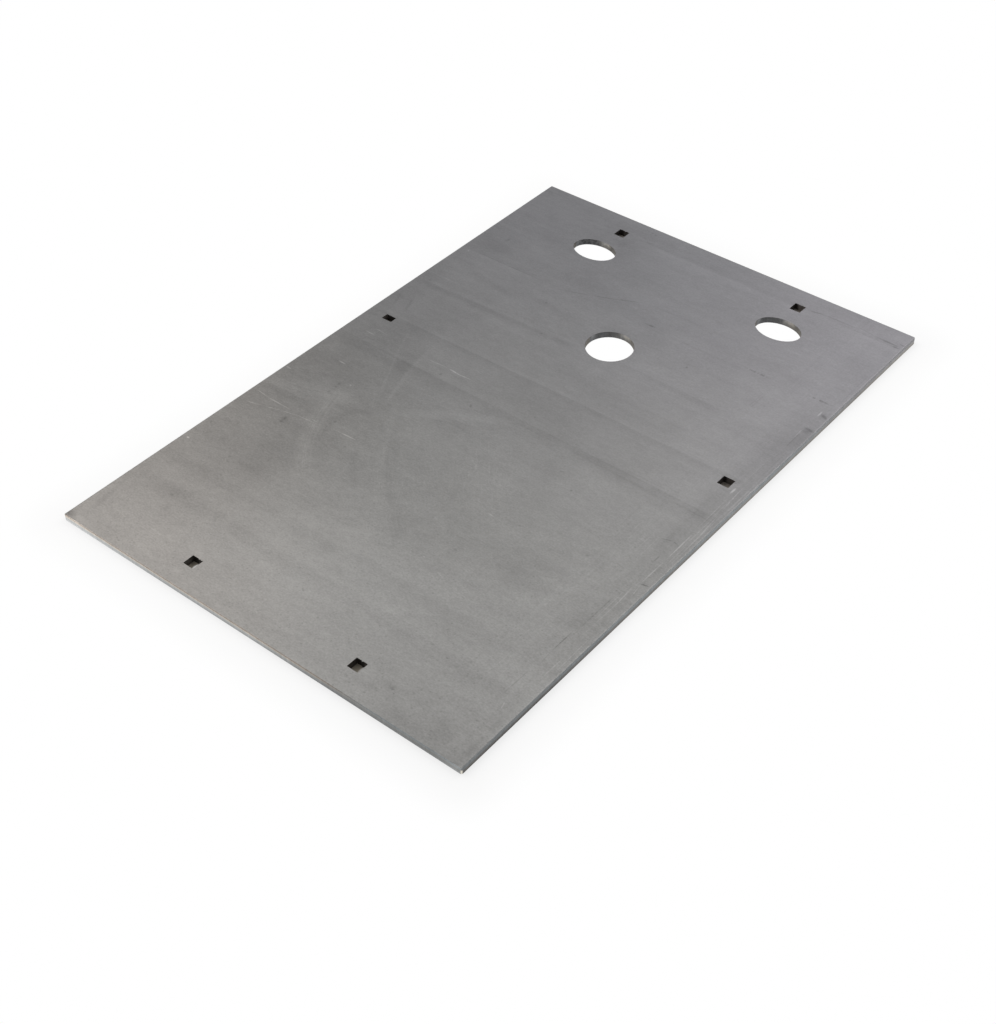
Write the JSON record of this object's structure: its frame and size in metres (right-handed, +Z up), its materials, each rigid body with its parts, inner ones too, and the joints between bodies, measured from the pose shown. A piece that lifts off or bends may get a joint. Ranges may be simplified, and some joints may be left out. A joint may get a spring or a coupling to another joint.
{
  "type": "weld-on plate",
  "caption": "Flat rectangular steel plate for welding on, with oval and round openings near one end and rows of small square holes for coach bolts.",
  "frame": {"origin": "centre of the underside of the plate", "axes": "+X along the short side to the right, +Y along the long side towards the end with the oval openings, +Z up through the thickness"},
  "size_m": [0.4, 0.614, 0.006],
  "materials": {
    "steel": "bare hot-rolled mill finish"
  },
  "bodies": {
    "root": {"plate": "steel"}
  },
  "joints": []
}
